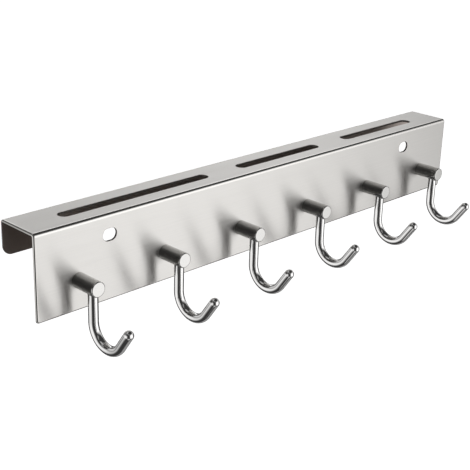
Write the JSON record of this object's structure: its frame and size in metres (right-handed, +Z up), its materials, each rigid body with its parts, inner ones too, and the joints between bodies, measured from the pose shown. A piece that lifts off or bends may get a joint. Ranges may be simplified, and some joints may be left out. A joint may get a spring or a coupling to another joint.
{
  "type": "knife rack with hooks",
  "caption": "Wall rack folded from stainless sheet, with knife slots along its top and a row of J hooks on round posts along its front.",
  "frame": {"origin": "midpoint of the two wall-screw holes, on the back face of the wall flange", "axes": "+X along the rack, to the right as seen from the room; +Y into the wall; +Z up"},
  "size_m": [0.4, 0.0839, 0.0757],
  "materials": {
    "brushed_sheet": "brushed lengthwise",
    "satin_post": "satin turned",
    "polished_wire": "polished",
    "screw_steel": "bright"
  },
  "bodies": {
    "root": {"rack_body": "brushed_sheet", "hook_post_1": "satin_post", "hook_post_2": "satin_post", "hook_post_3": "satin_post", "hook_post_4": "satin_post", "hook_post_5": "satin_post", "hook_post_6": "satin_post", "hook_1": "polished_wire", "hook_2": "polished_wire", "hook_3": "polished_wire", "hook_4": "polished_wire", "hook_5": "polished_wire", "hook_6": "polished_wire", "post_screw_1": "screw_steel", "post_screw_2": "screw_steel", "post_screw_3": "screw_steel", "post_screw_4": "screw_steel", "post_screw_5": "screw_steel", "post_screw_6": "screw_steel"}
  },
  "joints": []
}
